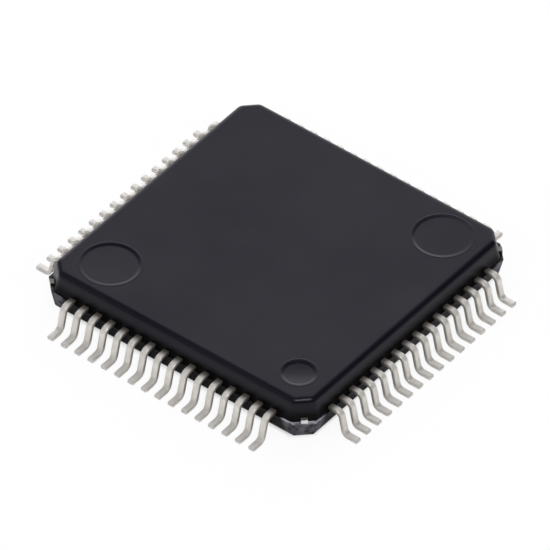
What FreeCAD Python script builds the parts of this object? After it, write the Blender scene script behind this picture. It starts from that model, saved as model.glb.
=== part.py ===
import FreeCAD, Part
import math
import os
import re

import Sketcher

# A quad flat pack chip: a moulded body with gull wing leads on its four sides.
# Millimetres, +Z up. The origin is in the middle of the plane that the feet stand on.

os.makedirs("parts", exist_ok=True)
doc = FreeCAD.newDocument("quad_flat_pack")
sheet = doc.addObject("Spreadsheet::Sheet", "Sizes")

# Driving dimensions: name, value and what it measures
SIZES = [
    ("lead_pitch", 0.50, "spacing of the leads outside the body"),
    ("side_margin", 1.25, "middle of the last lead of a side to the corner of the body"),
    ("upper_step", 0.05, "how far each side of the upper half stands back at the parting plane"),
    ("standoff", 0.10, "gap under the body"),
    ("lower_depth", 0.67, "parting plane down to the underside"),
    ("upper_depth", 0.73, "parting plane up to the top face"),
    ("mould_draft", 12.0, "lean of the moulded sides, degrees"),
    ("lower_corner_cut", 0.50, "leg of the corner cut of the lower half"),
    ("upper_corner_cut", 0.53, "leg of the corner cut of the upper half"),
    ("corner_round", 0.28, "radius of the upright edges beside each corner cut of the upper half"),
    ("rim_round", 0.20, "radius round the top face and round the underside"),
    ("ejector_width", 1.80, "diameter of an ejector pin mark"),
    ("ejector_inset_x", 1.57, "middle of an ejector pin mark to the nearest side of the body along X"),
    ("ejector_inset_y", 1.44, "middle of an ejector pin mark to the nearest side of the body along Y"),
    ("ejector_depth", 0.05, "depth of an ejector pin mark"),
    ("pin_one_width", 1.04, "diameter of the pin one mark"),
    ("pin_one_inset", 1.25, "middle of the pin one mark to both nearest sides of the body"),
    ("pin_one_depth", 0.10, "depth of the pin one mark"),
    ("mark_draft", 15.0, "lean of a mark's wall, degrees"),
    ("frame_thickness", 0.127, "strip that the leads and the die pad are stamped from"),
    ("lead_width", 0.22, "width of a lead outside the body"),
    ("lead_reach", 1.00, "tip of a lead from the side of the lower half"),
    ("foot_flat", 0.33, "straight length of a foot"),
    ("leg_tilt", 13.0, "lean of a leg from upright, degrees"),
    ("bend_radius", 0.14, "inside radius of both bends of a lead"),
    ("fan_start", 0.30, "straight length of a lead inside the body"),
    ("inner_gap", 0.30, "tips of the inner leads from the die pad's edge"),
    ("inner_pitch", 0.30, "spacing of the tips of the inner leads"),
    ("inner_width", 0.15, "width of the tip of an inner lead"),
    ("pad_width", 5.00, "die pad across its sides"),
    ("pad_downset", 0.20, "how far the die pad lies below the leads"),
    ("tie_width", 0.20, "width of a tie bar"),
    ("tie_bend_reach", 0.15, "start of a tie bar's downset from the pad's corner"),
    ("attach_thickness", 0.025, "die attach layer"),
    ("attach_margin", 0.06, "how far the die attach spreads past the die"),
    ("die_width", 3.60, "die across its sides"),
    ("die_thickness", 0.28, "die"),
    ("wire_width", 0.025, "bond wire"),
    ("bond_pitch", 0.20, "spacing of the bonds along the die's edge"),
    ("bond_inset", 0.09, "bond from the die's edge"),
    ("loop_rise", 0.155, "straight rise of a wire from the die"),
    ("loop_crown", 0.12, "run of a wire's crown before its slope"),
    ("stitch_reach", 0.15, "stitch from the tip of its inner lead"),
]

SIDES = 4
LEADS_A_SIDE = 16
LEADS_A_NODE = 2
FULL_TURN = 360.0

# Sizes worked out from those above
WORKED_OUT = [
    ("body_width", f"={LEADS_A_SIDE - 1} * lead_pitch + 2 * side_margin", "lower half at the parting plane"),
    ("parting_height", "=standoff + lower_depth", "parting plane, which the leads lie on"),
    ("top_height", "=parting_height + upper_depth", "top face"),
    ("lead_top", "=parting_height + frame_thickness", "upper surface of the leads at the body"),
    ("lead_tip", "=body_width / 2 + lead_reach", "tip of a lead from the middle"),
    ("leg_turn", "=90 - leg_tilt", "angle of both bends of a lead, degrees"),
    ("outer_bend", "=bend_radius + frame_thickness", "outside radius of both bends"),
    ("foot_start", "=lead_tip - foot_flat", "end of the lower bend"),
    ("foot_centre", "=frame_thickness + bend_radius", "height of the lower bend's centre"),
    ("knee_centre", "=parting_height - bend_radius", "height of the upper bend's centre"),
    ("bend_reach", "=( bend_radius + outer_bend ) * sin(leg_turn * 1 deg)", "how far both bends carry a lead"),
    ("leg_drop", "=knee_centre - foot_centre + ( bend_radius + outer_bend ) * cos(leg_turn * 1 deg)",
     "height of the straight stretch of a leg"),
    ("knee_start", "=foot_start - bend_reach - leg_drop * tan(leg_tilt * 1 deg)", "start of the upper bend"),
    ("inner_tip", "=pad_width / 2 + inner_gap", "tip of an inner lead from the middle"),
    ("fan_line", "=body_width / 2 - fan_start", "where the leads start to fan in"),
    ("pad_floor", "=parting_height - pad_downset", "underside of the die pad"),
    ("pad_top", "=pad_floor + frame_thickness", "upper surface of the die pad"),
    ("die_floor", "=pad_top + attach_thickness", "underside of the die"),
    ("die_top", "=die_floor + die_thickness", "upper surface of the die"),
]


def fill_sheet():
    """Write both lists into the sheet: name, value or formula, and what it measures."""
    rows = [(name, str(value), note) for name, value, note in SIZES] + WORKED_OUT
    for row, (name, content, note) in enumerate(rows, start=1):
        sheet.set(f"A{row}", name)
        sheet.set(f"B{row}", content)
        sheet.set(f"C{row}", note)
        sheet.setAlias(f"B{row}", name)
    doc.recompute()


def size(name):
    """The number that the sheet holds under a name."""
    return float(sheet.get(name))


def named(expression):
    """The expression with every sheet name in it written in full, as a bound property needs it."""
    return re.sub(r"[a-z_]+", lambda word: SHEET_NAMES.get(word[0], word[0]), expression)


def bind(thing, **properties):
    """Tie properties of an object to expressions of sheet names. Two underscores stand for a dot."""
    for name, expression in properties.items():
        thing.setExpression(name.replace("__", "."), named(expression))


def origin_part(body, role):
    """The origin plane or axis of a body that has this role."""
    return next(part for part in body.Origin.OriginFeatures if part.Role == role)


def sketch_in(body, name, role, height="0"):
    """A sketch on one of the body's origin planes, moved along that plane's normal."""
    sketch = body.newObject("Sketcher::SketchObject", name)
    sketch.AttachmentSupport = [(origin_part(body, role), "")]
    sketch.MapMode = "FlatFace"
    bind(sketch, AttachmentOffset__Base__z=height)
    return sketch


def draw_outline(sketch, points):
    """A closed outline of straight lines whose corners are pairs of expressions from the sketch's origin."""
    places = []
    for across, along in points:
        x = sketch.evalExpression(named(across))
        y = sketch.evalExpression(named(along))
        places.append(FreeCAD.Vector(float(x), float(y), 0))
    first = sketch.GeometryCount
    for here, there in zip(places, places[1:] + places[:1]):
        sketch.addGeometry(Part.LineSegment(here, there), False)
    for step, (across, along) in enumerate(points):
        line = first + step
        following = first + (step + 1) % len(points)
        sketch.addConstraint(Sketcher.Constraint("Coincident", line, 2, following, 1))
        for direction, expression, value in (
            ("DistanceX", across, places[step].x),
            ("DistanceY", along, places[step].y),
        ):
            held = sketch.addConstraint(Sketcher.Constraint(direction, -1, 1, line, 1, value))
            sketch.setExpression(f"Constraints[{held}]", named(expression))


def pad_from(body, name, sketch, **sizes):
    """A pad of a sketch, with its sizes bound."""
    pad = body.newObject("PartDesign::Pad", name)
    pad.Profile = sketch
    bind(pad, **sizes)
    return pad


def round_edges(body, name, chosen, radius):
    """A fillet along the edges of the body's present shape that the test picks."""
    doc.recompute()
    base = body.Tip
    edges = [f"Edge{place}" for place, edge in enumerate(base.Shape.Edges, start=1) if chosen(edge)]
    fillet = body.newObject("PartDesign::Fillet", name)
    fillet.Base = (base, edges)
    bind(fillet, Radius=radius)
    body.Tip = fillet
    return fillet


def ends_at(edge, height):
    """Whether both ends of an edge lie at a height."""
    return all(abs(corner.Z - height) < TOUCH for corner in edge.Vertexes)


def spans(edge, low, high):
    """Whether an edge runs from one height to another."""
    heights = sorted(corner.Z for corner in edge.Vertexes)
    return len(heights) == 2 and abs(heights[0] - low) < TOUCH and abs(heights[1] - high) < TOUCH


TOUCH = 1e-5
SHEET_NAMES = {row[0]: f"Sizes.{row[0]}" for row in SIZES + WORKED_OUT}
fill_sheet()


# Moulded body: two drafted halves that meet at the parting plane, the upper one a little smaller

def cut_square(half, cut):
    """The eight corners of a square with its corners cut off."""
    near = f"( {half} - {cut} )"
    wide = f"( {half} )"
    return [
        (wide, f"- {near}"), (wide, near), (near, wide), (f"- {near}", wide),
        (f"- {wide}", near), (f"- {wide}", f"- {near}"), (f"- {near}", f"- {wide}"), (near, f"- {wide}"),
    ]


def round_mark(body, name, centre, height, diameter, depth, inward):
    """A shallow round mark with a leaning wall, turned about its own axis into the face at a height."""
    section = body.newObject("Sketcher::SketchObject", name + "_section")
    section.AttachmentSupport = [(origin_part(body, "XZ_Plane"), "")]
    section.MapMode = "FlatFace"
    across, along = centre
    bind(
        section,
        AttachmentOffset__Base__x=across,
        AttachmentOffset__Base__y=height,
        AttachmentOffset__Base__z=f"- ( {along} )",
    )
    floor = f"{inward} * {depth}"
    draw_outline(section, [
        ("0", "0"),
        (f"{diameter} / 2", "0"),
        (f"{diameter} / 2 - {depth} * tan(mark_draft * 1 deg)", floor),
        ("0", floor),
    ])
    groove = body.newObject("PartDesign::Groove", name)
    groove.Profile = section
    groove.ReferenceAxis = (section, ["V_Axis"])
    groove.Angle = FULL_TURN
    body.Tip = groove
    return groove


def mould_form():
    """The body as the mould fills it, before its inner pieces take their room."""
    body = doc.addObject("PartDesign::Body", "mould_form")
    lower = sketch_in(body, "lower_outline", "XY_Plane", "parting_height")
    draw_outline(lower, cut_square("body_width / 2", "lower_corner_cut"))
    lower_half = pad_from(body, "lower_half", lower, Length="lower_depth", TaperAngle="- mould_draft")
    lower_half.Reversed = True
    upper = sketch_in(body, "upper_outline", "XY_Plane", "parting_height")
    draw_outline(upper, cut_square("body_width / 2 - upper_step", "upper_corner_cut"))
    pad_from(body, "upper_half", upper, Length="upper_depth", TaperAngle="- mould_draft")
    parting = size("parting_height")
    floor = size("standoff")
    top = size("top_height")
    round_edges(body, "upper_corners", lambda edge: spans(edge, parting, top), "corner_round")
    round_edges(body, "upper_rim", lambda edge: ends_at(edge, top), "rim_round")
    round_edges(body, "lower_rim", lambda edge: ends_at(edge, floor), "rim_round")
    across = "( body_width / 2 - ejector_inset_x )"
    along = "( body_width / 2 - ejector_inset_y )"
    for corner, centre in (("plus_corner", (across, along)), ("minus_corner", (f"- {across}", f"- {along}"))):
        for face, height, inward in (("upper", "top_height", -1), ("lower", "standoff", 1)):
            mark = f"{face}_ejector_mark_{corner}"
            round_mark(body, mark, centre, height, "ejector_width", "ejector_depth", inward)
    pin_one = "( body_width / 2 - pin_one_inset )"
    pin_one_centre = (pin_one, f"- {pin_one}")
    round_mark(body, "pin_one_mark", pin_one_centre, "top_height", "pin_one_width", "pin_one_depth", -1)
    return body


# Leads: a formed strip as wide as a side, cut to the outline of each lead as seen from above.
# The bends have flats, because arcs on this many leads would take more faces than the part may have.

BEND_FLATS = 3


def bend(centre_across, centre_height, radius, sign):
    """Points round one surface of a bend, from its level end to its leg, with a few flats in place of the arc."""
    points = []
    for step in range(BEND_FLATS + 1):
        angle = f"leg_turn * {step} / {BEND_FLATS} * 1 deg"
        points.append((
            f"{centre_across} + {sign} * {radius} * sin({angle})",
            f"{centre_height} + {sign} * {radius} * cos({angle})",
        ))
    return points


def formed_strip():
    """The gull wing section of a lead, as wide as one side of the body."""
    body = doc.addObject("PartDesign::Body", "formed_strip")
    section = sketch_in(body, "gull_wing_section", "XZ_Plane")
    knee_inside = bend("knee_start", "knee_centre", "bend_radius", 1)
    knee_outside = bend("knee_start", "knee_centre", "outer_bend", 1)
    foot_inside = bend("foot_start", "foot_centre", "bend_radius", -1)
    foot_outside = bend("foot_start", "foot_centre", "outer_bend", -1)
    draw_outline(section, [
        ("inner_tip", "parting_height"),
        *knee_inside,
        *reversed(foot_outside),
        ("lead_tip", "0"),
        ("lead_tip", "frame_thickness"),
        *foot_inside,
        *reversed(knee_outside),
        ("inner_tip", "lead_top"),
    ])
    strip = pad_from(body, "strip", section, Length="body_width")
    strip.SideType = "Symmetric"
    return body


def lead_outlines(first):
    """The outlines of neighbouring leads as seen from above, as an upright block through the strip."""
    sketch = doc.addObject("Sketcher::SketchObject", f"outline_{first + 1}")
    for number in range(first, first + LEADS_A_NODE):
        place = number - (LEADS_A_SIDE - 1) / 2
        outer = f"{place} * lead_pitch"
        inner = f"{place} * inner_pitch"
        draw_outline(sketch, [
            ("inner_tip", f"{inner} - inner_width / 2"),
            ("fan_line", f"{outer} - lead_width / 2"),
            ("lead_tip + frame_thickness", f"{outer} - lead_width / 2"),
            ("lead_tip + frame_thickness", f"{outer} + lead_width / 2"),
            ("fan_line", f"{outer} + lead_width / 2"),
            ("inner_tip", f"{inner} + inner_width / 2"),
        ])
    block = doc.addObject("Part::Extrusion", f"outline_block_{first + 1}")
    block.Base = sketch
    block.DirMode = "Custom"
    block.Dir = FreeCAD.Vector(0, 0, 1)
    block.Solid = True
    bind(block, LengthFwd="lead_top + frame_thickness", LengthRev="frame_thickness")
    return block


def side_turn(side):
    """The turn about Z that carries the +X side of the body to another side."""
    return FreeCAD.Rotation(FreeCAD.Vector(0, 0, 1), side * FULL_TURN / SIDES)


def lead_nodes():
    """All leads, numbered counter-clockwise from the pin one corner, two to a node."""
    strip = formed_strip()
    blocks = [lead_outlines(first) for first in range(0, LEADS_A_SIDE, LEADS_A_NODE)]
    nodes = []
    for side in range(SIDES):
        for place, block in enumerate(blocks):
            first = side * LEADS_A_SIDE + place * LEADS_A_NODE + 1
            last = first + LEADS_A_NODE - 1
            node = doc.addObject("Part::Common", f"leads_{first:02d}_{last:02d}")
            node.Base = strip
            node.Tool = block
            node.Placement = FreeCAD.Placement(FreeCAD.Vector(0, 0, 0), side_turn(side))
            nodes.append(node)
    return nodes


# Die pad: a square set down below the leads, with four tie bars that end in the body's cut corners

def die_pad():
    """The pad and its tie bars, stamped and set down in one piece."""
    body = doc.addObject("PartDesign::Body", "die_pad")
    square = sketch_in(body, "pad_outline", "XY_Plane", "pad_floor")
    half = "pad_width / 2"
    draw_outline(square, [(f"- {half}", f"- {half}"), (half, f"- {half}"), (half, half), (f"- {half}", half)])
    pad_from(body, "pad", square, Length="frame_thickness")
    side_view = sketch_in(body, "tie_bar_section", "XZ_Plane")
    side_view.AttachmentOffset = FreeCAD.Placement(
        FreeCAD.Vector(0, 0, 0), FreeCAD.Rotation(FreeCAD.Vector(0, 1, 0), FULL_TURN / SIDES / 2)
    )
    corner = "pad_width / sqrt(2)"
    low_bend = f"{corner} + tie_bend_reach"
    high_bend = f"{low_bend} + pad_downset"
    # The downset runs as far as it drops, at 45 degrees, and its bends are mitred at half of that
    slant = "frame_thickness * tan(45 deg / 2)"
    body_corner = "( body_width - lower_corner_cut ) / sqrt(2)"
    draw_outline(side_view, [
        (f"{corner} - tie_width", "pad_floor"),
        (low_bend, "pad_floor"),
        (high_bend, "parting_height"),
        (body_corner, "parting_height"),
        (body_corner, "lead_top"),
        (f"{high_bend} - {slant}", "lead_top"),
        (f"{low_bend} - {slant}", "pad_top"),
        (f"{corner} - tie_width", "pad_top"),
    ])
    tie_bar = pad_from(body, "tie_bar", side_view, Length="tie_width")
    tie_bar.SideType = "Symmetric"
    doc.recompute()
    ring = body.newObject("PartDesign::PolarPattern", "tie_bars")
    ring.Originals = [tie_bar]
    ring.Axis = (origin_part(body, "Z_Axis"), [""])
    ring.Angle = FULL_TURN
    ring.Occurrences = SIDES
    body.Tip = ring
    return body


# Die and the layer that holds it to the pad

def middle_block(name, width, floor, thickness):
    """A square block about the Z axis."""
    block = doc.addObject("Part::Box", name)
    bind(
        block,
        Length=width,
        Width=width,
        Height=thickness,
        Placement__Base__x=f"- ( {width} ) / 2",
        Placement__Base__y=f"- ( {width} ) / 2",
        Placement__Base__z=floor,
    )
    return block


# Bond wires: each rises from its bond on the die, turns over a short crown and slopes to its inner lead

def bent_strip(points, width):
    """A face as wide as given about an open line of points in the XZ plane, mitred at its bends."""
    sides = []
    for sign in (1, -1):
        edge = []
        for place, point in enumerate(points):
            before = (point - points[place - 1]) if place > 0 else (points[1] - point)
            after = (points[place + 1] - point) if place + 1 < len(points) else before
            before.normalize()
            after.normalize()
            normal = FreeCAD.Vector(-before.z - after.z, 0, before.x + after.x)
            normal.normalize()
            square_on = FreeCAD.Vector(-before.z, 0, before.x)
            edge.append(point + normal * (sign * width / 2 / normal.dot(square_on)))
        sides.append(edge)
    outline = sides[0] + sides[1][::-1]
    return Part.Face(Part.makePolygon(outline + outline[:1]))


def bond_wire(number):
    """One wire on the +X side, from the die's edge to its inner lead."""
    place = number - (LEADS_A_SIDE - 1) / 2
    width = size("wire_width")
    stitch_x = size("inner_tip") + size("stitch_reach")
    fan_share = size("stitch_reach") / (size("fan_line") - size("inner_tip"))
    spread = size("inner_pitch") + (size("lead_pitch") - size("inner_pitch")) * fan_share
    start = FreeCAD.Vector(size("die_width") / 2 - size("bond_inset"), place * size("bond_pitch"), 0)
    finish = FreeCAD.Vector(stitch_x, place * spread, 0)
    run = start.distanceToPoint(finish)
    crown = size("die_top") + size("loop_rise")
    below = size("lead_top") - width
    slope = (crown - size("lead_top")) / (run - size("loop_crown"))
    line = [
        FreeCAD.Vector(0, 0, size("die_top")),
        FreeCAD.Vector(0, 0, crown),
        FreeCAD.Vector(size("loop_crown"), 0, crown),
        FreeCAD.Vector(run + width / slope, 0, below),
    ]
    wire = bent_strip(line, width).extrude(FreeCAD.Vector(0, width, 0))
    wire.translate(FreeCAD.Vector(0, -width / 2, 0))
    under = Part.makeBox(3 * run, 2 * width, 1, FreeCAD.Vector(-run, -width, size("lead_top") - 1))
    wire = wire.cut(under)
    heading = math.degrees(math.atan2(finish.y - start.y, finish.x - start.x))
    wire.rotate(FreeCAD.Vector(0, 0, 0), FreeCAD.Vector(0, 0, 1), heading)
    wire.translate(start)
    return wire


def wire_nodes():
    """The wires, one node to a side."""
    one_side = [bond_wire(number) for number in range(LEADS_A_SIDE)]
    nodes = []
    for side in range(SIDES):
        node = doc.addObject("Part::Feature", f"bond_wires_side_{side + 1}")
        node.Shape = Part.makeCompound(one_side)
        node.Placement = FreeCAD.Placement(FreeCAD.Vector(0, 0, 0), side_turn(side))
        nodes.append(node)
    return nodes


leads = lead_nodes()
pad = die_pad()
attach = middle_block("die_attach", "die_width + 2 * attach_margin", "pad_top", "attach_thickness")
die = middle_block("die", "die_width", "die_floor", "die_thickness")
doc.recompute()
wires = wire_nodes()

# The compound flows round everything, so the body has exactly the room that the inner pieces take
inner_pieces = doc.addObject("Part::MultiFuse", "inner_pieces")
inner_pieces.Shapes = leads + [pad, attach, die] + wires
moulded_body = doc.addObject("Part::Cut", "moulded_body")
moulded_body.Base = mould_form()
moulded_body.Tool = inner_pieces
doc.recompute()

for thing in doc.Objects:
    if any(word in ("Invalid", "Error") for word in thing.State):
        raise RuntimeError(f"{thing.Name} failed: {thing.State}")

for node in [moulded_body, *leads, pad, attach, die, *wires]:
    if node.Shape.isNull() or not node.Shape.isValid() or not node.Shape.Solids:
        raise RuntimeError(f"{node.Label} has no valid solid")
    node.Shape.exportStep(f"parts/{node.Label}.step")
    print(node.Label, len(node.Shape.Solids), round(node.Shape.Volume, 6))
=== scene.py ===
import math

import bpy
import numpy as np
from mathutils import Matrix, Vector
from mathutils.geometry import delaunay_2d_cdt


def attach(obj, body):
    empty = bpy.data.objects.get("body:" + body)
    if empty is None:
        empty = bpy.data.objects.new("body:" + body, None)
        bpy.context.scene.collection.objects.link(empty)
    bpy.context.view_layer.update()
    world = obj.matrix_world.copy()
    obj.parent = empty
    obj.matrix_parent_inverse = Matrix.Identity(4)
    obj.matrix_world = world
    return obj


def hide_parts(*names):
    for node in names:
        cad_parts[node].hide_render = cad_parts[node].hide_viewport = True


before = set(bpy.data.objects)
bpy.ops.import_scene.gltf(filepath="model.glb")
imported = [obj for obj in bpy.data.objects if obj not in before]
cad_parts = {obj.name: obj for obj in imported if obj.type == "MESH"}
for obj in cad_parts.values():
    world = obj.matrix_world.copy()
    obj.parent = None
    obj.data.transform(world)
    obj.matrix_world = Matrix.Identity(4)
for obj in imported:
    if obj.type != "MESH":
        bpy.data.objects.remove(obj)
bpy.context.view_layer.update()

MM = 0.001

# Camera
# A long lens looks down on the pin one corner. Its place was solved from the corners of the body
# and the tips of the leads in the photograph.

CAMERA_AZIMUTH = math.radians(37.128)
CAMERA_ELEVATION = math.radians(42.846)
CAMERA_ROLL = math.radians(1.236)
CAMERA_DISTANCE = 475.10 * MM
CAMERA_RIGHTWARD = -0.0273 * MM
CAMERA_UPWARD = 0.3563 * MM
# Focal length and sensor width in millimetres, and the nearest and furthest that is seen in metres
CAMERA_LENS = 1053.5
SENSOR_WIDTH = 36
CAMERA_CLIP = (0.01, 20)


def camera_axes():
    """Right, up and back of the camera: a level camera at the azimuth and elevation, then rolled."""
    back = Vector((
        math.sin(CAMERA_AZIMUTH) * math.cos(CAMERA_ELEVATION),
        -math.cos(CAMERA_AZIMUTH) * math.cos(CAMERA_ELEVATION),
        math.sin(CAMERA_ELEVATION),
    ))
    level = Vector((math.cos(CAMERA_AZIMUTH), math.sin(CAMERA_AZIMUTH), 0))
    upright = back.cross(level)
    right = level * math.cos(CAMERA_ROLL) + upright * math.sin(CAMERA_ROLL)
    up = upright * math.cos(CAMERA_ROLL) - level * math.sin(CAMERA_ROLL)
    return right, up, back


right, up, back = camera_axes()
camera_data = bpy.data.cameras.new("camera")
camera_data.lens = CAMERA_LENS
camera_data.sensor_width = SENSOR_WIDTH
camera_data.clip_start, camera_data.clip_end = CAMERA_CLIP
camera = bpy.data.objects.new("camera", camera_data)
place = back * CAMERA_DISTANCE + right * CAMERA_RIGHTWARD + up * CAMERA_UPWARD
camera.matrix_world = Matrix.Translation(place) @ Matrix((right, up, back)).transposed().to_4x4()
bpy.context.scene.collection.objects.link(camera)
bpy.context.scene.camera = camera
bpy.context.scene.view_settings.view_transform = "Standard"

# Studio
# A room that is pale near the horizon and dark overhead. The top face mirrors a large soft window behind
# the chip, and the slopes of its marks mirror a bright backdrop low behind it. Broad lamps overhead and
# before each side give the plain light, and show in no reflection.

# Each patch of light: the way to its middle, its strength, and the angles from its middle in degrees
# between which it comes up to that
WINDOW_TOWARDS = Vector((-back.x, -back.y, back.z))
WINDOW_LEVEL = 1.22
WINDOW_EDGE = (40, 14)
BACKDROP_TOWARDS = Vector((-back.x, -back.y, 0.10)).normalized()
BACKDROP_LEVEL = 2.0
BACKDROP_EDGE = (44, 24)
FILL_TOWARDS = Vector((-0.44, -0.70, 0.55)).normalized()
FILL_LEVEL = 0.50
FILL_EDGE = (45, 20)
SPOT_TOWARDS = Vector((0.35, -0.30, 0.88)).normalized()
SPOT_LEVEL = 30.0
SPOT_EDGE = (8, 4)
# The room is dark above the first of these heights on a unit sphere and pale below the second
HORIZON_EDGE = (0.14, 0.02)
HORIZON_LEVEL = 0.45
CEILING_LEVEL = 0.07
LAMP_SIZE = 0.30
LAMP_DISTANCE = 0.60
# The way to each lamp, and its power in watts
LAMPS = {
    "overhead": ((0, 0, 1), 0.3),
    "before_plus_x": ((0.80, 0, 0.60), 0.55),
    "before_minus_y": ((0, -0.80, 0.60), 0.5),
    "before_minus_x": ((-0.75, 0, 0.66), 0.5),
    "before_plus_y": ((0, 0.75, 0.66), 0.5),
}


def linear(hex_colour):
    """The linear RGBA of an sRGB hex colour."""
    values = [int(hex_colour[place:place + 2], 16) / 255 for place in (1, 3, 5)]
    return [v / 12.92 if v <= 0.04045 else ((v + 0.055) / 1.055) ** 2.4 for v in values] + [1.0]


def add(tree, kind, inputs, **settings):
    """A node with its settings. An input is a value, or an output socket to link."""
    node = tree.nodes.new(kind)
    for name, value in settings.items():
        setattr(node, name, value)
    for name, value in inputs.items():
        if isinstance(value, bpy.types.NodeSocket):
            tree.links.new(value, node.inputs[name])
        else:
            node.inputs[name].default_value = value
    return node


world = bpy.data.worlds.new("studio")
world.use_nodes = True
tree = world.node_tree
tree.nodes.clear()
towards = add(tree, "ShaderNodeTexCoord", {}).outputs["Generated"]


def bright_patch(middle, edge, level):
    """A round patch of the room about a direction, fading between two angles from it in degrees."""
    facing = add(tree, "ShaderNodeVectorMath", {0: towards, 1: middle}, operation="DOT_PRODUCT")
    patch = add(tree, "ShaderNodeMapRange", {
        "Value": facing.outputs["Value"],
        "From Min": math.cos(math.radians(edge[0])), "From Max": math.cos(math.radians(edge[1])),
        "To Min": 0.0, "To Max": level,
    }, interpolation_type="SMOOTHSTEP")
    return patch.outputs[0]


patches = [
    bright_patch(WINDOW_TOWARDS, WINDOW_EDGE, WINDOW_LEVEL),
    bright_patch(BACKDROP_TOWARDS, BACKDROP_EDGE, BACKDROP_LEVEL),
    bright_patch(FILL_TOWARDS, FILL_EDGE, FILL_LEVEL),
    bright_patch(SPOT_TOWARDS, SPOT_EDGE, SPOT_LEVEL),
]
height = add(tree, "ShaderNodeSeparateXYZ", {0: towards})
horizon = add(tree, "ShaderNodeMapRange", {
    "Value": height.outputs["Z"], "From Min": HORIZON_EDGE[0], "From Max": HORIZON_EDGE[1],
    "To Min": CEILING_LEVEL, "To Max": HORIZON_LEVEL,
}, interpolation_type="SMOOTHSTEP")
level = horizon.outputs[0]
for patch in patches:
    level = add(tree, "ShaderNodeMath", {0: level, 1: patch}, operation="MAXIMUM").outputs[0]
sky = add(tree, "ShaderNodeBackground", {"Color": linear("#F7F6FF"), "Strength": level})
add(tree, "ShaderNodeOutputWorld", {"Surface": sky.outputs[0]})
bpy.context.scene.world = world

for name, (direction, power) in LAMPS.items():
    lamp_data = bpy.data.lights.new(name, "AREA")
    lamp_data.shape = "DISK"
    lamp_data.size = LAMP_SIZE
    lamp_data.energy = power
    lamp = bpy.data.objects.new(name, lamp_data)
    direction = Vector(direction).normalized()
    aim = direction.to_track_quat("Z", "Y").to_matrix().to_4x4()
    lamp.matrix_world = Matrix.Translation(direction * LAMP_DISTANCE) @ aim
    lamp.visible_glossy = False
    lamp.visible_camera = False
    bpy.context.scene.collection.objects.link(lamp)

# Floor
# White card. The camera sees it nearly plain white, with a little of the real shade, except under the
# chip, where it is ordinary card in the dark. Reflections see it half plain white, and only further out.

FLOOR_SIDE = 4.0
# The share of plain white that the camera sees in the card, and the share that reflections see
SEEN_SHARE = 0.92
MIRRORED_SHARE = 0.50
# Between these distances from the middle of the chip each of the two comes up
UNDER_CHIP = (4.5 * MM, 4.90 * MM)
BESIDE_CHIP = (4.7 * MM, 9.4 * MM)
# Beside a cut corner, the distance is this share of x and y together
DIAGONAL_SHARE = 0.53


def mesh_object(name, vertices, faces, material):
    """An object at the origin from vertices in metres and faces, smooth shaded."""
    mesh = bpy.data.meshes.new(name)
    mesh.from_pydata(vertices.tolist(), [], faces)
    mesh.polygons.foreach_set("use_smooth", np.ones(len(mesh.polygons), dtype=bool))
    mesh.materials.append(material)
    mesh.update()
    thing = bpy.data.objects.new(name, mesh)
    bpy.context.scene.collection.objects.link(thing)
    return thing


def new_material(name):
    """An empty material and its node tree."""
    material = bpy.data.materials.new(name)
    material.use_nodes = True
    material.node_tree.nodes.clear()
    return material, material.node_tree


def white_card():
    """Diffuse white card, mixed with plain white for the rays that see it directly, and by a smaller
    share and further from the chip for the rays that see it in a reflection."""
    material, tree = new_material("white_card")
    ray = add(tree, "ShaderNodeLightPath", {})
    where = add(tree, "ShaderNodeTexCoord", {})
    across = add(tree, "ShaderNodeVectorMath", {0: where.outputs["Object"]}, operation="ABSOLUTE")
    sides = add(tree, "ShaderNodeSeparateXYZ", {0: across.outputs[0]})
    x, y = sides.outputs["X"], sides.outputs["Y"]
    aside = add(tree, "ShaderNodeMath", {0: x, 1: y}, operation="MAXIMUM")
    both = add(tree, "ShaderNodeMath", {0: x, 1: y}, operation="ADD")
    diagonal = add(tree, "ShaderNodeMath", {0: both.outputs[0], 1: DIAGONAL_SHARE}, operation="MULTIPLY")
    reach = add(tree, "ShaderNodeMath", {
        0: aside.outputs[0], 1: diagonal.outputs[0],
    }, operation="MAXIMUM")
    shares = []
    for kind, edge, most in (
        ("Is Camera Ray", UNDER_CHIP, SEEN_SHARE),
        ("Is Glossy Ray", BESIDE_CHIP, MIRRORED_SHARE),
    ):
        clear = add(tree, "ShaderNodeMapRange", {
            "Value": reach.outputs[0], "From Min": edge[0], "From Max": edge[1], "To Max": most,
        }, interpolation_type="SMOOTHSTEP")
        seen = add(tree, "ShaderNodeMath", {0: ray.outputs[kind], 1: clear.outputs[0]}, operation="MULTIPLY")
        shares.append(seen.outputs[0])
    share = add(tree, "ShaderNodeMath", {0: shares[0], 1: shares[1]}, operation="MAXIMUM")
    card = add(tree, "ShaderNodeBsdfDiffuse", {"Color": linear("#F4F4F4")})
    white = add(tree, "ShaderNodeEmission", {"Color": linear("#FFFFFF"), "Strength": 1.0})
    mixed = add(tree, "ShaderNodeMixShader", {0: share.outputs[0], 1: card.outputs[0], 2: white.outputs[0]})
    add(tree, "ShaderNodeOutputMaterial", {"Surface": mixed.outputs[0]})
    return material


corners = np.array([(-1, -1, 0), (1, -1, 0), (1, 1, 0), (-1, 1, 0)]) * FLOOR_SIDE / 2
floor = mesh_object("floor", corners, [(0, 1, 2, 3)], white_card())

# Moulded body
# Two halves of black epoxy compound, moulded round the lead frame in one shot and drafted away from the
# parting plane. The upper half is a little smaller, so a narrow ledge runs round the body.

# Lengths in millimetres
STANDOFF = 0.10
PARTING = 0.77
TOP = 1.50
# The lip round a mark comes up to the full height, this far above the top face, and spreads this far
LIP = 0.006
LIP_REACH = 0.012
DRAFT = math.radians(12)
LOWER = {"half": 5.000, "cut": 0.50, "corner": 0.06, "rim": 0.20}
UPPER = {"half": 4.950, "cut": 0.53, "corner": 0.28, "rim": 0.20}
EDGE_ROUND = 0.018
# The radius that the upright edges still have where the rim ends
LEAST_CORNER = 0.02
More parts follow.
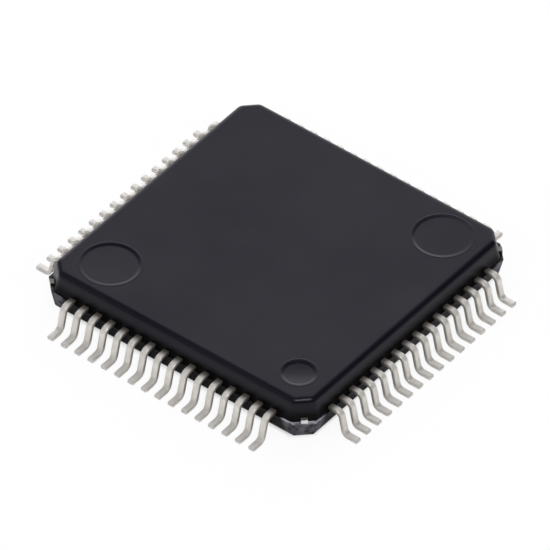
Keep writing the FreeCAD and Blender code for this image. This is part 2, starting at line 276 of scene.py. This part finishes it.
# A last ring this far in from the rim keeps the flat face's shading level
SUPPORT = 0.02
# How finely the outlines are divided
ARC_STEPS = 8
SIDE_STEPS = 48
CUT_STEPS = 6
# How many rings the wall, the rim and the ledge's round edges have
WALL_RINGS = 5
RIM_STEPS = 12
EDGE_STEPS = 4
# Each mark: centre x and y, radius, depth at its wall, width of the wall, hollow and lean of its floor,
# and the direction of the lean in degrees
TOP_MARKS = [
    (-3.43, -3.56, 0.90, 0.028, 0.12, 0.006, 0.012, 95),
    (3.43, 3.56, 0.90, 0.022, 0.12, 0.006, 0.016, 222),
    (3.75, -3.75, 0.52, 0.044, 0.16, 0.032, 0.008, 158),
]
UNDER_MARKS = [
    (-3.43, -3.56, 0.90, 0.040, 0.06, 0.005, 0.0, 0),
    (3.43, 3.56, 0.90, 0.040, 0.06, 0.005, 0.0, 0),
]
MARK_STEPS = 120
# Rings outside a mark's wall, as distances from it, of which the outermost lie level with the face
BAND = np.array([0.054, 0.034, 0.027, 0.021, 0.016, 0.012, 0.008, 0.004])
LEVEL_RINGS = 2
MARK_WALL_RINGS = 17
# Rings of a mark's floor, from this far inside its wall in to this radius
MARK_FLOOR_RINGS = 9
FLOOR_MARGIN = 0.02
FLOOR_MIDDLE = 0.04
# Points nearer than this are one
SAME_POINT = 1e-9
# A triangle is left out where its middle lies further than this inside a mark's outer ring
MARK_MARGIN = 0.002


def rounded_octagon(rings):
    """Outlines of a square with cut corners and rounded edges, one for each ring of
    (distance of a side, distance of a cut, radius of the edges, height).
    Every edge is an arc of 45 degrees about the corner of the octagon that lies a radius further in."""
    side, cut, radius, height = np.array(rings).T
    points = []
    for step in range(8):
        here = step * math.pi / 4
        there = here + math.pi / 4
        near, far = (side, cut) if step % 2 == 0 else (cut, side)
        near, far = near - radius, far - radius
        centre_x = (near * math.sin(there) - far * math.sin(here)) / math.sin(math.pi / 4)
        centre_y = (far * math.cos(here) - near * math.cos(there)) / math.sin(math.pi / 4)
        turn = np.linspace(here, there, ARC_STEPS + 1)
        points.append(np.stack([
            centre_x[:, None] + radius[:, None] * np.cos(turn),
            centre_y[:, None] + radius[:, None] * np.sin(turn),
        ], axis=2))
    outline = []
    for step in range(8):
        arc, following = points[step], points[(step + 1) % 8]
        count = CUT_STEPS if step % 2 == 0 else SIDE_STEPS
        share = (np.arange(1, count) / count)[None, :, None]
        outline += [arc, arc[:, -1:] * (1 - share) + following[:, :1] * share]
    flat = np.concatenate(outline, axis=1)
    level = np.broadcast_to(height[:, None, None], flat.shape[:2] + (1,))
    return np.concatenate([flat, level], axis=2)


def cut_distance(half, cut):
    """How far a corner cut lies from the middle, for a square's half width and the cut's leg."""
    return (2 * half - cut) / math.sqrt(2)


def half_rings(form, face, sign):
    """Rings of one half from just past the parting plane to its flat face: the drafted wall,
    then an arc of the rim radius that turns from the wall to the face."""
    half, cut = form["half"], cut_distance(form["half"], form["cut"])
    depth = abs(face - PARTING)
    centre_depth = depth - form["rim"]
    centre_inset = math.tan(DRAFT) * centre_depth + form["rim"] / math.cos(DRAFT)
    turn = np.linspace(DRAFT, math.pi / 2, RIM_STEPS + 1)
    inset = centre_inset - form["rim"] * np.cos(turn)
    down = centre_depth + form["rim"] * np.sin(turn)
    wall = np.linspace(EDGE_ROUND, down[0], WALL_RINGS + 1)[:-1]
    rings = [(half - math.tan(DRAFT) * z, cut - math.tan(DRAFT) * z, form["corner"], z) for z in wall]
    for i, z in zip(inset, down):
        rings.append((half - i, cut - i, max(form["corner"] - (i - inset[0]), LEAST_CORNER), z))
    last = inset[-1] + SUPPORT
    rings.append((half - last, cut - last, LEAST_CORNER, depth))
    return [(s, c, r, PARTING + sign * z) for s, c, r, z in rings]


def ledge_rings():
    """Rings over the rounded edge of the lower half, across the ledge and up its inner corner."""
    low, low_cut = LOWER["half"], cut_distance(LOWER["half"], LOWER["cut"])
    high, high_cut = UPPER["half"], cut_distance(UPPER["half"], UPPER["cut"])
    rings = []
    turn = np.linspace(0, math.pi / 2, EDGE_STEPS + 1)[1:]
    for angle in turn:
        inward, down = EDGE_ROUND * (1 - math.cos(angle)), EDGE_ROUND * (1 - math.sin(angle))
        rings.append((low - inward, low_cut - inward, LOWER["corner"], PARTING - down))
    rings.append((high + EDGE_ROUND, high_cut + EDGE_ROUND, UPPER["corner"], PARTING))
    for angle in turn[:-1]:
        outward, up = EDGE_ROUND * (1 - math.sin(angle)), EDGE_ROUND * (1 - math.cos(angle))
        rings.append((high + outward, high_cut + outward, UPPER["corner"], PARTING + up))
    return rings


def grid_faces(rows, columns, start=0):
    """Quads between neighbouring rows of a grid that closes on itself along its columns."""
    here = np.arange(rows - 1)[:, None] * columns + np.arange(columns)[None, :] + start
    there = np.arange(rows - 1)[:, None] * columns + (np.arange(columns)[None, :] + 1) % columns + start
    return np.stack([here, there, there + columns, here + columns], axis=2).reshape(-1, 4).tolist()


def mark_patch(mark, height, sign):
    """A round mark on its own polar grid: a level band, a faint lip, then a soft wall about the radius
    down to a floor that is hollow by the square of the distance from its edge and leans to one side."""
    x, y, radius, depth, width, hollow, lean, towards = mark
    top, foot = radius + width / 4, radius - width * 3 / 4
    r = np.concatenate([
        top + BAND,
        np.linspace(top, foot, MARK_WALL_RINGS),
        np.linspace(foot - FLOOR_MARGIN, FLOOR_MIDDLE, MARK_FLOOR_RINGS),
    ])[:, None]
    angle = np.linspace(0, 2 * math.pi, MARK_STEPS, endpoint=False)[None, :]
    drop = np.clip((top - r) / width, 0, 1)
    drop = drop * drop * (3 - 2 * drop)
    lip = LIP * np.exp(-((r - top - LIP_REACH) / LIP_REACH) ** 2)
    inward = 1 - np.clip(r / foot, 0, 1) ** 2
    floor = depth + hollow * inward + lean * (r / radius) * np.cos(angle - math.radians(towards))
    z = height + sign * (lip - drop * floor)
    z[:LEVEL_RINGS] = height
    return np.stack([x + r * np.cos(angle), y + r * np.sin(angle), z], axis=2)


def flat_face(rim, marks, height, sign):
    """The flat face between the rim and the marks' outer rings. Returns the marks' patches, and
    triangles that count through the rim's outline and then through each patch's outer ring."""
    patches = [mark_patch(mark, height, sign) for mark in marks]
    loops = [rim[:, :2]] + [patch[0, :, :2] for patch in patches]
    flat = np.concatenate(loops)
    edges = []
    start = 0
    for loop in loops:
        order = np.arange(len(loop))
        edges += np.stack([start + order, start + (order + 1) % len(loop)], axis=1).tolist()
        start += len(loop)
    result = delaunay_2d_cdt([Vector(p) for p in flat.tolist()], edges, [], 0, SAME_POINT)
    came_from = [origin[0] if origin else -1 for origin in result[3]]
    faces = np.array([[came_from[v] for v in face] for face in result[2]])
    middle = flat[faces].mean(axis=1)
    keep = np.ones(len(faces), dtype=bool)
    for mark, patch in zip(marks, patches):
        outer = patch[0, 0, 0] - mark[0]
        keep &= np.hypot(middle[:, 0] - mark[0], middle[:, 1] - mark[1]) > outer - MARK_MARGIN
    return patches, faces[keep]


def compound_shell():
    """The whole body as one closed surface, in millimetres: rings from the lower face to the upper one,
    both faces and the marks."""
    lower = half_rings(LOWER, STANDOFF, -1)[::-1]
    upper = half_rings(UPPER, TOP - LIP, 1)
    rings = rounded_octagon(lower + ledge_rings() + upper)
    rows, columns = rings.shape[:2]
    vertices = [rings.reshape(-1, 3)]
    faces = grid_faces(rows, columns)
    count = rows * columns
    for rim_start, marks, height, sign in (
        (0, UNDER_MARKS, STANDOFF, -1), ((rows - 1) * columns, TOP_MARKS, TOP - LIP, 1),
    ):
        rim = vertices[0][rim_start:rim_start + columns]
        patches, triangles = flat_face(rim, marks, height, sign)
        index = [np.arange(rim_start, rim_start + columns)]
        for patch in patches:
            steps = patch.shape[1]
            index.append(np.arange(count, count + steps))
            inner = grid_faces(len(patch), steps, count)
            last = count + (len(patch) - 1) * steps
            inner.append(list(range(last, last + steps)))
            faces += inner if sign > 0 else [face[::-1] for face in inner]
            vertices.append(patch.reshape(-1, 3))
            count += patch.shape[0] * steps
        index = np.concatenate(index)
        triangles = index[triangles]
        faces += (triangles if sign > 0 else triangles[:, ::-1]).tolist()
    return np.concatenate(vertices), faces


# The height of the middle of the painted shade, and how far from there it is full and gone
PAINTED_SHADE_MIDDLE = 0.62
PAINTED_SHADE_FULL = 0.31
PAINTED_SHADE_GONE = 0.60
# Specular level in the full painted shade, and its range away from it, which varies in clouds
PAINTED_SHADE_SPECULAR = 0.06
UNSHADED_SPECULAR = (0.175, 0.215)
# A painted reflection greys the lower half's corners where x and y together pass from the first sum
# to the second, up to the ledge
PAINTED_CORNER_FROM = 8.95
PAINTED_CORNER_WHOLE = 9.20
PAINTED_CORNER_BELOW = PARTING + 0.003
# A painted highlight comes up between these heights, along the ledge's edge
HIGHLIGHT_HEIGHTS = (PARTING - 0.07, PARTING - 0.01)
# Sizes of the mould's grain, of the cloudy differences in sheen, and of the mottle in the painted reflection
GRAIN = 0.07
CLOUD = 2.5
CORNER_MOTTLE = 0.22


def moulding_compound():
    """Epoxy compound filled with silica and carbon black, out of a spark-eroded mould: a satin black
    with a fine grain. Painted shade darkens it about the parting plane on both halves, a mottled grey
    painted reflection lies on the corners of the lower half, and a painted highlight runs along the
    ledge's edge at the pin one corner. The grains are near 0.03 mm, and are drawn at 0.07 mm so that
    they show."""
    material, tree = new_material("moulding_compound")
    where = add(tree, "ShaderNodeTexCoord", {}).outputs["Object"]
    grain = add(tree, "ShaderNodeTexNoise", {
        "Vector": where, "Scale": 1 / (GRAIN * MM), "Detail": 3.0, "Roughness": 0.6,
    })
    cloud = add(tree, "ShaderNodeTexNoise", {"Vector": where, "Scale": 1 / (CLOUD * MM), "Detail": 2.0})
    colour = add(tree, "ShaderNodeMix", {
        "Factor": grain.outputs["Fac"], "A": linear("#0B0A12"), "B": linear("#100F19"),
    }, data_type="RGBA")
    rough = add(tree, "ShaderNodeMapRange", {
        "Value": cloud.outputs["Fac"], "From Min": 0.3, "From Max": 0.7, "To Min": 0.27, "To Max": 0.33,
    })
    across = add(tree, "ShaderNodeVectorMath", {0: where}, operation="ABSOLUTE")
    sides = add(tree, "ShaderNodeSeparateXYZ", {0: across.outputs[0]})
    z = sides.outputs["Z"]
    lower = add(tree, "ShaderNodeMath", {0: z, 1: PAINTED_CORNER_BELOW * MM}, operation="LESS_THAN")
    # Painted shade: near black and less specular about the parting plane, where the leads and the ledge
    # shade the walls and darken what they mirror
    from_middle = add(tree, "ShaderNodeMath", {0: z, 1: PAINTED_SHADE_MIDDLE * MM}, operation="SUBTRACT")
    away = add(tree, "ShaderNodeMath", {0: from_middle.outputs[0]}, operation="ABSOLUTE")
    unshaded = add(tree, "ShaderNodeMapRange", {
        "Value": away.outputs[0], "From Min": PAINTED_SHADE_FULL * MM, "From Max": PAINTED_SHADE_GONE * MM,
    }, interpolation_type="SMOOTHSTEP")
    sheen = add(tree, "ShaderNodeMapRange", {
        "Value": cloud.outputs["Fac"], "From Min": 0.3, "From Max": 0.7,
        "To Min": UNSHADED_SPECULAR[0], "To Max": UNSHADED_SPECULAR[1],
    })
    shine = add(tree, "ShaderNodeMapRange", {
        "Value": unshaded.outputs[0], "To Min": PAINTED_SHADE_SPECULAR, "To Max": sheen.outputs[0],
    })
    painted_shade = add(tree, "ShaderNodeMix", {
        "Factor": unshaded.outputs[0], "A": linear("#070707"), "B": colour.outputs["Result"],
    }, data_type="RGBA")
    # Painted reflection: a mottled grey on the lower half's corners, standing for the bright floor they
    # mirror
    reach = add(tree, "ShaderNodeMath", {0: sides.outputs["X"], 1: sides.outputs["Y"]}, operation="ADD")
    corner = add(tree, "ShaderNodeMapRange", {
        "Value": reach.outputs[0], "From Min": PAINTED_CORNER_FROM * MM, "From Max": PAINTED_CORNER_WHOLE * MM,
    }, interpolation_type="SMOOTHSTEP")
    painted_reflection = add(tree, "ShaderNodeMath", {0: corner.outputs[0], 1: lower.outputs[0]}, operation="MULTIPLY")
    corner_mottle = add(tree, "ShaderNodeTexNoise", {"Vector": where, "Scale": 1 / (CORNER_MOTTLE * MM), "Detail": 3.0})
    mottle = add(tree, "ShaderNodeMapRange", {
        "Value": corner_mottle.outputs["Fac"], "From Min": 0.35, "From Max": 0.65,
    })
    # Painted highlight: a pale band along the ledge's edge, only at the pin one corner
    edge = add(tree, "ShaderNodeMapRange", {
        "Value": z, "From Min": HIGHLIGHT_HEIGHTS[0] * MM, "From Max": HIGHLIGHT_HEIGHTS[1] * MM,
    }, interpolation_type="SMOOTHSTEP")
    # Mottled greys of the painted reflection on the corners
    face = add(tree, "ShaderNodeMix", {
        "Factor": mottle.outputs[0], "A": linear("#242427"), "B": linear("#606065"),
    }, data_type="RGBA")
    place = add(tree, "ShaderNodeSeparateXYZ", {0: where})
    along = add(tree, "ShaderNodeMath", {
        0: place.outputs["X"], 1: place.outputs["Y"],
    }, operation="SUBTRACT")
    pin_one = add(tree, "ShaderNodeMath", {
        0: along.outputs[0], 1: PAINTED_CORNER_FROM * MM,
    }, operation="GREATER_THAN")
    highlight_band = add(tree, "ShaderNodeMath", {0: edge.outputs[0], 1: mottle.outputs[0]}, operation="MULTIPLY")
    painted_highlight = add(tree, "ShaderNodeMath", {
        0: highlight_band.outputs[0], 1: pin_one.outputs[0],
    }, operation="MULTIPLY")
    # Pale grey of the painted highlight, over the painted reflection
    grey = add(tree, "ShaderNodeMix", {
        "Factor": painted_highlight.outputs[0], "A": face.outputs["Result"], "B": linear("#B4B4B8"),
    }, data_type="RGBA")
    finish = add(tree, "ShaderNodeMix", {
        "Factor": painted_reflection.outputs[0], "A": painted_shade.outputs["Result"], "B": grey.outputs["Result"],
    }, data_type="RGBA")
    bump = add(tree, "ShaderNodeBump", {
        "Height": grain.outputs["Fac"], "Strength": 0.35, "Distance": 0.004 * MM,
    })
    shader = add(tree, "ShaderNodeBsdfPrincipled", {
        "Base Color": finish.outputs["Result"], "Roughness": rough.outputs[0], "IOR": 1.5,
        "Specular IOR Level": shine.outputs[0], "Normal": bump.outputs[0],
    })
    add(tree, "ShaderNodeOutputMaterial", {"Surface": shader.outputs[0]})
    return material


vertices, faces = compound_shell()
package = mesh_object("package_body", vertices * MM, faces, moulding_compound())
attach(package, "root")
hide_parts("moulded_body")

# Leads
# Sixty-four gull wings of copper alloy strip, stamped, plated with matt tin, then trimmed and formed.
# Inside the body each runs on, fanning in to its tip beside the die pad.

SIDES = 4
LEADS_A_SIDE = 16
LEADS_A_NODE = 2
PITCH = 0.50
INNER_PITCH = 0.30
LEAD_WIDTH = 0.22
INNER_WIDTH = 0.15
THICKNESS = 0.127
INNER_TIP = 2.80
FAN_LINE = 4.70
LEAD_TIP = 6.00
FOOT_FLAT = 0.33
BEND_RADIUS = 0.14
LEG_TURN = math.radians(77)
SECTION_ROUND = 0.035
LEAST_ROUND = 0.004
# The ring before the last draws in by this share of the section's round, and lies as far from the tip
TIP_SHARE = 0.30
SECTION_STEPS = 4
BEND_STEPS = 10
# Rings of a lead's straight stretches: past the inner tip, on both sides of the fan's start, before the
# knee, along the leg as shares of it, and before the foot's tip
PAST_INNER_TIP = 0.02
ABOUT_FAN_LINE = 0.03
BEFORE_KNEE = 0.12
LEG_RINGS = np.array([0.25, 0.5, 0.75])
BEFORE_TIP = (0.20, 0.07)


def lead_path():
    """The middle line of a lead in its upright plane, from the inner tip to the foot's tip:
    level, an arc down, a straight leg, an arc back to level. Returns x, z and the direction's angle."""
    radius = BEND_RADIUS + THICKNESS / 2
    high = PARTING + THICKNESS / 2
    low = THICKNESS / 2
    turn = np.linspace(0, LEG_TURN, BEND_STEPS + 1)
    foot_start = LEAD_TIP - FOOT_FLAT
    arc_reach = radius * math.sin(LEG_TURN)
    arc_drop = radius * (1 - math.cos(LEG_TURN))
    leg_drop = high - low - 2 * arc_drop
    knee_start = foot_start - 2 * arc_reach - leg_drop / math.tan(LEG_TURN)
    knee_x = knee_start + radius * np.sin(turn)
    knee_z = high - radius * (1 - np.cos(turn))
    foot_x = foot_start - radius * np.sin(turn[::-1])
    foot_z = low + radius * (1 - np.cos(turn[::-1]))
    leg_x = knee_x[-1] + (foot_x[0] - knee_x[-1]) * LEG_RINGS
    leg_z = knee_z[-1] + (foot_z[0] - knee_z[-1]) * LEG_RINGS
    inner_x = np.array([
        INNER_TIP, INNER_TIP + PAST_INNER_TIP,
        FAN_LINE - ABOUT_FAN_LINE, FAN_LINE, FAN_LINE + ABOUT_FAN_LINE,
        knee_start - BEFORE_KNEE,
    ])
    tip_x = LEAD_TIP - np.array([*BEFORE_TIP, SECTION_ROUND, SECTION_ROUND * TIP_SHARE, 0])
    inner, tip = len(inner_x), len(tip_x)
    x = np.concatenate([inner_x, knee_x, leg_x, foot_x, tip_x])
    z = np.concatenate([np.full(inner, high), knee_z, leg_z, foot_z, np.full(tip, low)])
    angle = np.concatenate([
        np.zeros(inner), turn, np.full(len(LEG_RINGS), LEG_TURN), turn[::-1], np.zeros(tip),
    ])
    return x, z, angle


def rounded_rectangle():
    """Corners of a rectangle as a unit outline: signs of the corner and the arc's own offsets."""
    signs = [(1, 1), (-1, 1), (-1, -1), (1, -1)]
    turn = np.linspace(0, math.pi / 2, SECTION_STEPS)
    corner = np.repeat(signs, SECTION_STEPS, axis=0)
    start = np.repeat(np.arange(len(signs)) * math.pi / 2, SECTION_STEPS)
    around = start + np.tile(turn, len(signs))
    return corner, np.stack([np.cos(around), np.sin(around)], axis=1)


def side_of_leads():
    """All leads of the +X side: a rounded rectangle carried along the path, whose middle and width
    change along the fan. The last stations draw in to round the tip. Returns vertices, faces and how far
    each vertex lies on a sheared flank."""
    x, z, angle = lead_path()
    stations = len(x)
    corner, arc = rounded_rectangle()
    fan = np.clip((FAN_LINE - x) / (FAN_LINE - INNER_TIP), 0, 1)
    number = np.arange(LEADS_A_SIDE) - (LEADS_A_SIDE - 1) / 2
    middle = number[:, None] * (PITCH + (INNER_PITCH - PITCH) * fan)[None, :]
    half_width = (LEAD_WIDTH + (INNER_WIDTH - LEAD_WIDTH) * fan) / 2
    drawn_in = np.zeros(stations)
    drawn_in[-2:] = SECTION_ROUND * TIP_SHARE, SECTION_ROUND
    half_width = half_width - drawn_in
    half_height = THICKNESS / 2 - drawn_in
    radius = np.maximum(SECTION_ROUND - drawn_in, LEAST_ROUND)
    sideways = corner[:, 0] * (half_width - radius)[:, None] + arc[:, 0] * radius[:, None]
    upward = corner[:, 1] * (half_height - radius)[:, None] + arc[:, 1] * radius[:, None]
    px = x[:, None] + upward * np.sin(angle)[:, None]
    pz = z[:, None] + upward * np.cos(angle)[:, None]
    px = np.broadcast_to(px, (LEADS_A_SIDE,) + px.shape)
    pz = np.broadcast_to(pz, px.shape)
    py = middle[:, :, None] + sideways[None]
    points = np.stack([px, py, pz], axis=3)
    flank = np.broadcast_to(np.abs(arc[:, 0]) ** 2, px.shape)
    around = points.shape[2]
    faces = []
    for lead in range(LEADS_A_SIDE):
        start = lead * stations * around
        faces += [face[::-1] for face in grid_faces(stations, around, start)]
        faces.append(list(range(start, start + around)))
        last = start + (stations - 1) * around
        faces.append(list(range(last, last + around))[::-1])
    return points.reshape(-1, 3), faces, flank.reshape(-1)


# Between these distances from the middle the painted shade beside the body fades out
WALL_SHADE_FADE = (4.96, 5.32)
# The painted shade on the feet fades out between these heights
FOOT_SHADE_HEIGHTS = (0.13, 0.32)


def matt_tin():
    """Matt electroplated tin over copper alloy: a light, slightly warm grey metal that scatters its
    reflections. Painted shade darkens it beside the body, on the sheared flanks and on the feet. Its
    crystals are near 0.005 mm, and are drawn at 0.04 mm so that they show."""
    material, tree = new_material("tin_plated_lead")
    where = add(tree, "ShaderNodeTexCoord", {}).outputs["Object"]
    crystals = add(tree, "ShaderNodeTexNoise", {
        "Vector": where, "Scale": 1 / (0.04 * MM), "Detail": 2.0, "Roughness": 0.6,
    })
    cloud = add(tree, "ShaderNodeTexNoise", {"Vector": where, "Scale": 1 / (0.25 * MM), "Detail": 2.0})
    plating = add(tree, "ShaderNodeMix", {
        "Factor": cloud.outputs["Fac"], "A": linear("#CECABF"), "B": linear("#F2EFE5"),
    }, data_type="RGBA")
    across = add(tree, "ShaderNodeVectorMath", {0: where}, operation="ABSOLUTE")
    sides = add(tree, "ShaderNodeSeparateXYZ", {0: across.outputs[0]})
    reach = add(tree, "ShaderNodeMath", {
        0: sides.outputs["X"], 1: sides.outputs["Y"],
    }, operation="MAXIMUM")
    # Painted shade beside the body, where the shoulders mirror the dark wall
    out_of_wall_shade = add(tree, "ShaderNodeMapRange", {
        "Value": reach.outputs[0], "From Min": WALL_SHADE_FADE[0] * MM, "From Max": WALL_SHADE_FADE[1] * MM,
    }, interpolation_type="SMOOTHSTEP")
    # Painted shade on the feet: darker and plainer towards the floor, where the body hides the window
    above_foot = add(tree, "ShaderNodeMapRange", {
        "Value": sides.outputs["Z"], "From Min": FOOT_SHADE_HEIGHTS[0] * MM, "From Max": FOOT_SHADE_HEIGHTS[1] * MM,
    }, interpolation_type="SMOOTHSTEP")
    foot_shaded = add(tree, "ShaderNodeMix", {
        "Factor": above_foot.outputs[0], "A": linear("#D0CDC4"), "B": plating.outputs["Result"],
    }, data_type="RGBA")
    flank = add(tree, "ShaderNodeAttribute", {}, attribute_name="flank").outputs["Fac"]
    # Painted shade on the sheared flanks, above the feet
    sheared = add(tree, "ShaderNodeMath", {0: flank, 1: above_foot.outputs[0]}, operation="MULTIPLY")
    surface = add(tree, "ShaderNodeMix", {
        "Factor": sheared.outputs[0], "A": foot_shaded.outputs["Result"], "B": linear("#B0AA9F"),
    }, data_type="RGBA")
    # Dark painted shade beside the body, over all the rest
    colour = add(tree, "ShaderNodeMix", {
        "Factor": out_of_wall_shade.outputs[0], "A": linear("#55504A"), "B": surface.outputs["Result"],
    }, data_type="RGBA")
    rough = add(tree, "ShaderNodeMapRange", {
        "Value": crystals.outputs["Fac"], "From Min": 0.3, "From Max": 0.7, "To Min": 0.34, "To Max": 0.46,
    })
    bump = add(tree, "ShaderNodeBump", {
        "Height": crystals.outputs["Fac"], "Strength": 0.4, "Distance": 0.003 * MM,
    })
    shader = add(tree, "ShaderNodeBsdfPrincipled", {
        "Base Color": colour.outputs["Result"], "Metallic": 0.50, "Roughness": rough.outputs[0],
        "Normal": bump.outputs[0],
    })
    add(tree, "ShaderNodeOutputMaterial", {"Surface": shader.outputs[0]})
    return material


# How much painted shade the flanks get in the rows +X, +Y, -X and -Y: the two far rows look paler in the
# photograph
FLANK_SHADE_BY_ROW = (1.0, 0.3, 0.3, 1.0)

tin = matt_tin()
one_side, lead_faces, flank = side_of_leads()
for side in range(SIDES):
    turn = side * math.pi / 2
    turned = one_side @ np.array([
        (math.cos(turn), math.sin(turn), 0), (-math.sin(turn), math.cos(turn), 0), (0, 0, 1),
    ])
    leads = mesh_object(f"formed_leads_side_{side + 1}", turned * MM, lead_faces, tin)
    # How much painted shade this row's flanks get
    flank_shade_weight = leads.data.attributes.new("flank", "FLOAT", "POINT")
    flank_shade_weight.data.foreach_set("value", flank * FLANK_SHADE_BY_ROW[side])
    first = side * LEADS_A_SIDE + 1
    nodes = [f"leads_{n:02d}_{n + 1:02d}" for n in range(first, first + LEADS_A_SIDE, LEADS_A_NODE)]
    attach(leads, "root")
    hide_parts(*nodes)

# Die pad and tie bars
# The bare middle of the lead frame, set down below the leads. Only the cut ends of its four tie bars
# show, at the corners of the ledge.

# Where x less y is more than this lies the tie bar of the pin one corner, whose cut end has a painted glint
PAINTED_GLINT_FROM = 8.0


def bare_copper_alloy():
    """Rolled copper alloy strip with fine rolling lines, in the greys of its cut ends, which are all of it
    that shows: dull, but for one that has a painted glint."""
    material, tree = new_material("bare_lead_frame")
    where = add(tree, "ShaderNodeTexCoord", {}).outputs["Object"]
    stretched = add(tree, "ShaderNodeMapping", {"Vector": where, "Scale": (1.0, 12.0, 1.0)})
    lines = add(tree, "ShaderNodeTexNoise", {
        "Vector": stretched.outputs[0], "Scale": 1 / (0.4 * MM), "Detail": 3.0,
    })
    dull = add(tree, "ShaderNodeMix", {
        "Factor": lines.outputs["Fac"], "A": linear("#5E5B56"), "B": linear("#7C7870"),
    }, data_type="RGBA")
    place = add(tree, "ShaderNodeSeparateXYZ", {0: where})
    across = add(tree, "ShaderNodeMath", {
        0: place.outputs["X"], 1: place.outputs["Y"],
    }, operation="SUBTRACT")
    # The pin one tie bar's cut end gets a pale painted glint
    cut = add(tree, "ShaderNodeMath", {
        0: across.outputs[0], 1: PAINTED_GLINT_FROM * MM,
    }, operation="GREATER_THAN")
    colour = add(tree, "ShaderNodeMix", {
        "Factor": cut.outputs[0], "A": dull.outputs["Result"], "B": linear("#E6E3DD"),
    }, data_type="RGBA")
    rough = add(tree, "ShaderNodeMapRange", {
        "Value": lines.outputs["Fac"], "From Min": 0.3, "From Max": 0.7, "To Min": 0.22, "To Max": 0.38,
    })
    bump = add(tree, "ShaderNodeBump", {
        "Height": lines.outputs["Fac"], "Strength": 0.3, "Distance": 0.002 * MM,
    })
    shader = add(tree, "ShaderNodeBsdfPrincipled", {
        "Base Color": colour.outputs["Result"], "Metallic": 1.0, "Roughness": rough.outputs[0],
        "Normal": bump.outputs[0],
    })
    add(tree, "ShaderNodeOutputMaterial", {"Surface": shader.outputs[0]})
    return material


def dress(name, material):
    """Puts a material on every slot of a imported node."""
    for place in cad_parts[name].material_slots:
        place.material = material


dress("die_pad", bare_copper_alloy())

# Die attach
# A thin layer of silver-filled epoxy, cured between the die and the pad, with a matt silvery grey edge.


def silver_epoxy():
    """Cured resin full of silver flakes of about 0.01 mm, drawn at 0.05 mm."""
    material, tree = new_material("silver_epoxy")
    where = add(tree, "ShaderNodeTexCoord", {}).outputs["Object"]
    flakes = add(tree, "ShaderNodeTexVoronoi", {"Vector": where, "Scale": 1 / (0.05 * MM)})
    colour = add(tree, "ShaderNodeMix", {
        "Factor": flakes.outputs["Distance"], "A": linear("#B9B9B6"), "B": linear("#8C8C89"),
    }, data_type="RGBA")
    bump = add(tree, "ShaderNodeBump", {
        "Height": flakes.outputs["Distance"], "Strength": 0.3, "Distance": 0.003 * MM,
    })
    shader = add(tree, "ShaderNodeBsdfPrincipled", {
        "Base Color": colour.outputs["Result"], "Metallic": 0.6, "Roughness": 0.55,
        "Normal": bump.outputs[0],
    })
    add(tree, "ShaderNodeOutputMaterial", {"Surface": shader.outputs[0]})
    return material


dress("die_attach", silver_epoxy())

# Die
# A square of polished silicon with blocks of circuitry under a glassy passivation layer.


def silicon():
    """Dark blue-grey silicon whose blocks of circuits differ a little in tint."""
    material, tree = new_material("silicon")
    where = add(tree, "ShaderNodeTexCoord", {}).outputs["Object"]
    blocks = add(tree, "ShaderNodeTexBrick", {
        "Vector": where, "Color1": linear("#4C5563"), "Color2": linear("#6A6470"),
        "Mortar": linear("#2E333C"), "Mortar Size": 0.02,
        "Scale": 1 / (1.0 * MM), "Brick Width": 0.6, "Row Height": 0.35,
    })
    shader = add(tree, "ShaderNodeBsdfPrincipled", {
        "Base Color": blocks.outputs["Color"], "Metallic": 0.7, "Roughness": 0.15, "Coat Weight": 0.6,
    })
    add(tree, "ShaderNodeOutputMaterial", {"Surface": shader.outputs[0]})
    return material


dress("die", silicon())

# Bond wires
# Drawn gold wire, 0.025 mm thick, from each bond on the die to the tip of its inner lead.


def drawn_gold():
    """Gold with faint drawing lines, near 0.01 mm apart and drawn at 0.03 mm."""
    material, tree = new_material("gold_wire")
    where = add(tree, "ShaderNodeTexCoord", {}).outputs["Object"]
    lines = add(tree, "ShaderNodeTexNoise", {"Vector": where, "Scale": 1 / (0.03 * MM), "Detail": 2.0})
    colour = add(tree, "ShaderNodeMix", {
        "Factor": lines.outputs["Fac"], "A": linear("#E8B64A"), "B": linear("#FFDB86"),
    }, data_type="RGBA")
    shader = add(tree, "ShaderNodeBsdfPrincipled", {
        "Base Color": colour.outputs["Result"], "Metallic": 1.0, "Roughness": 0.2,
    })
    add(tree, "ShaderNodeOutputMaterial", {"Surface": shader.outputs[0]})
    return material


gold = drawn_gold()
for side in range(SIDES):
    dress(f"bond_wires_side_{side + 1}", gold)
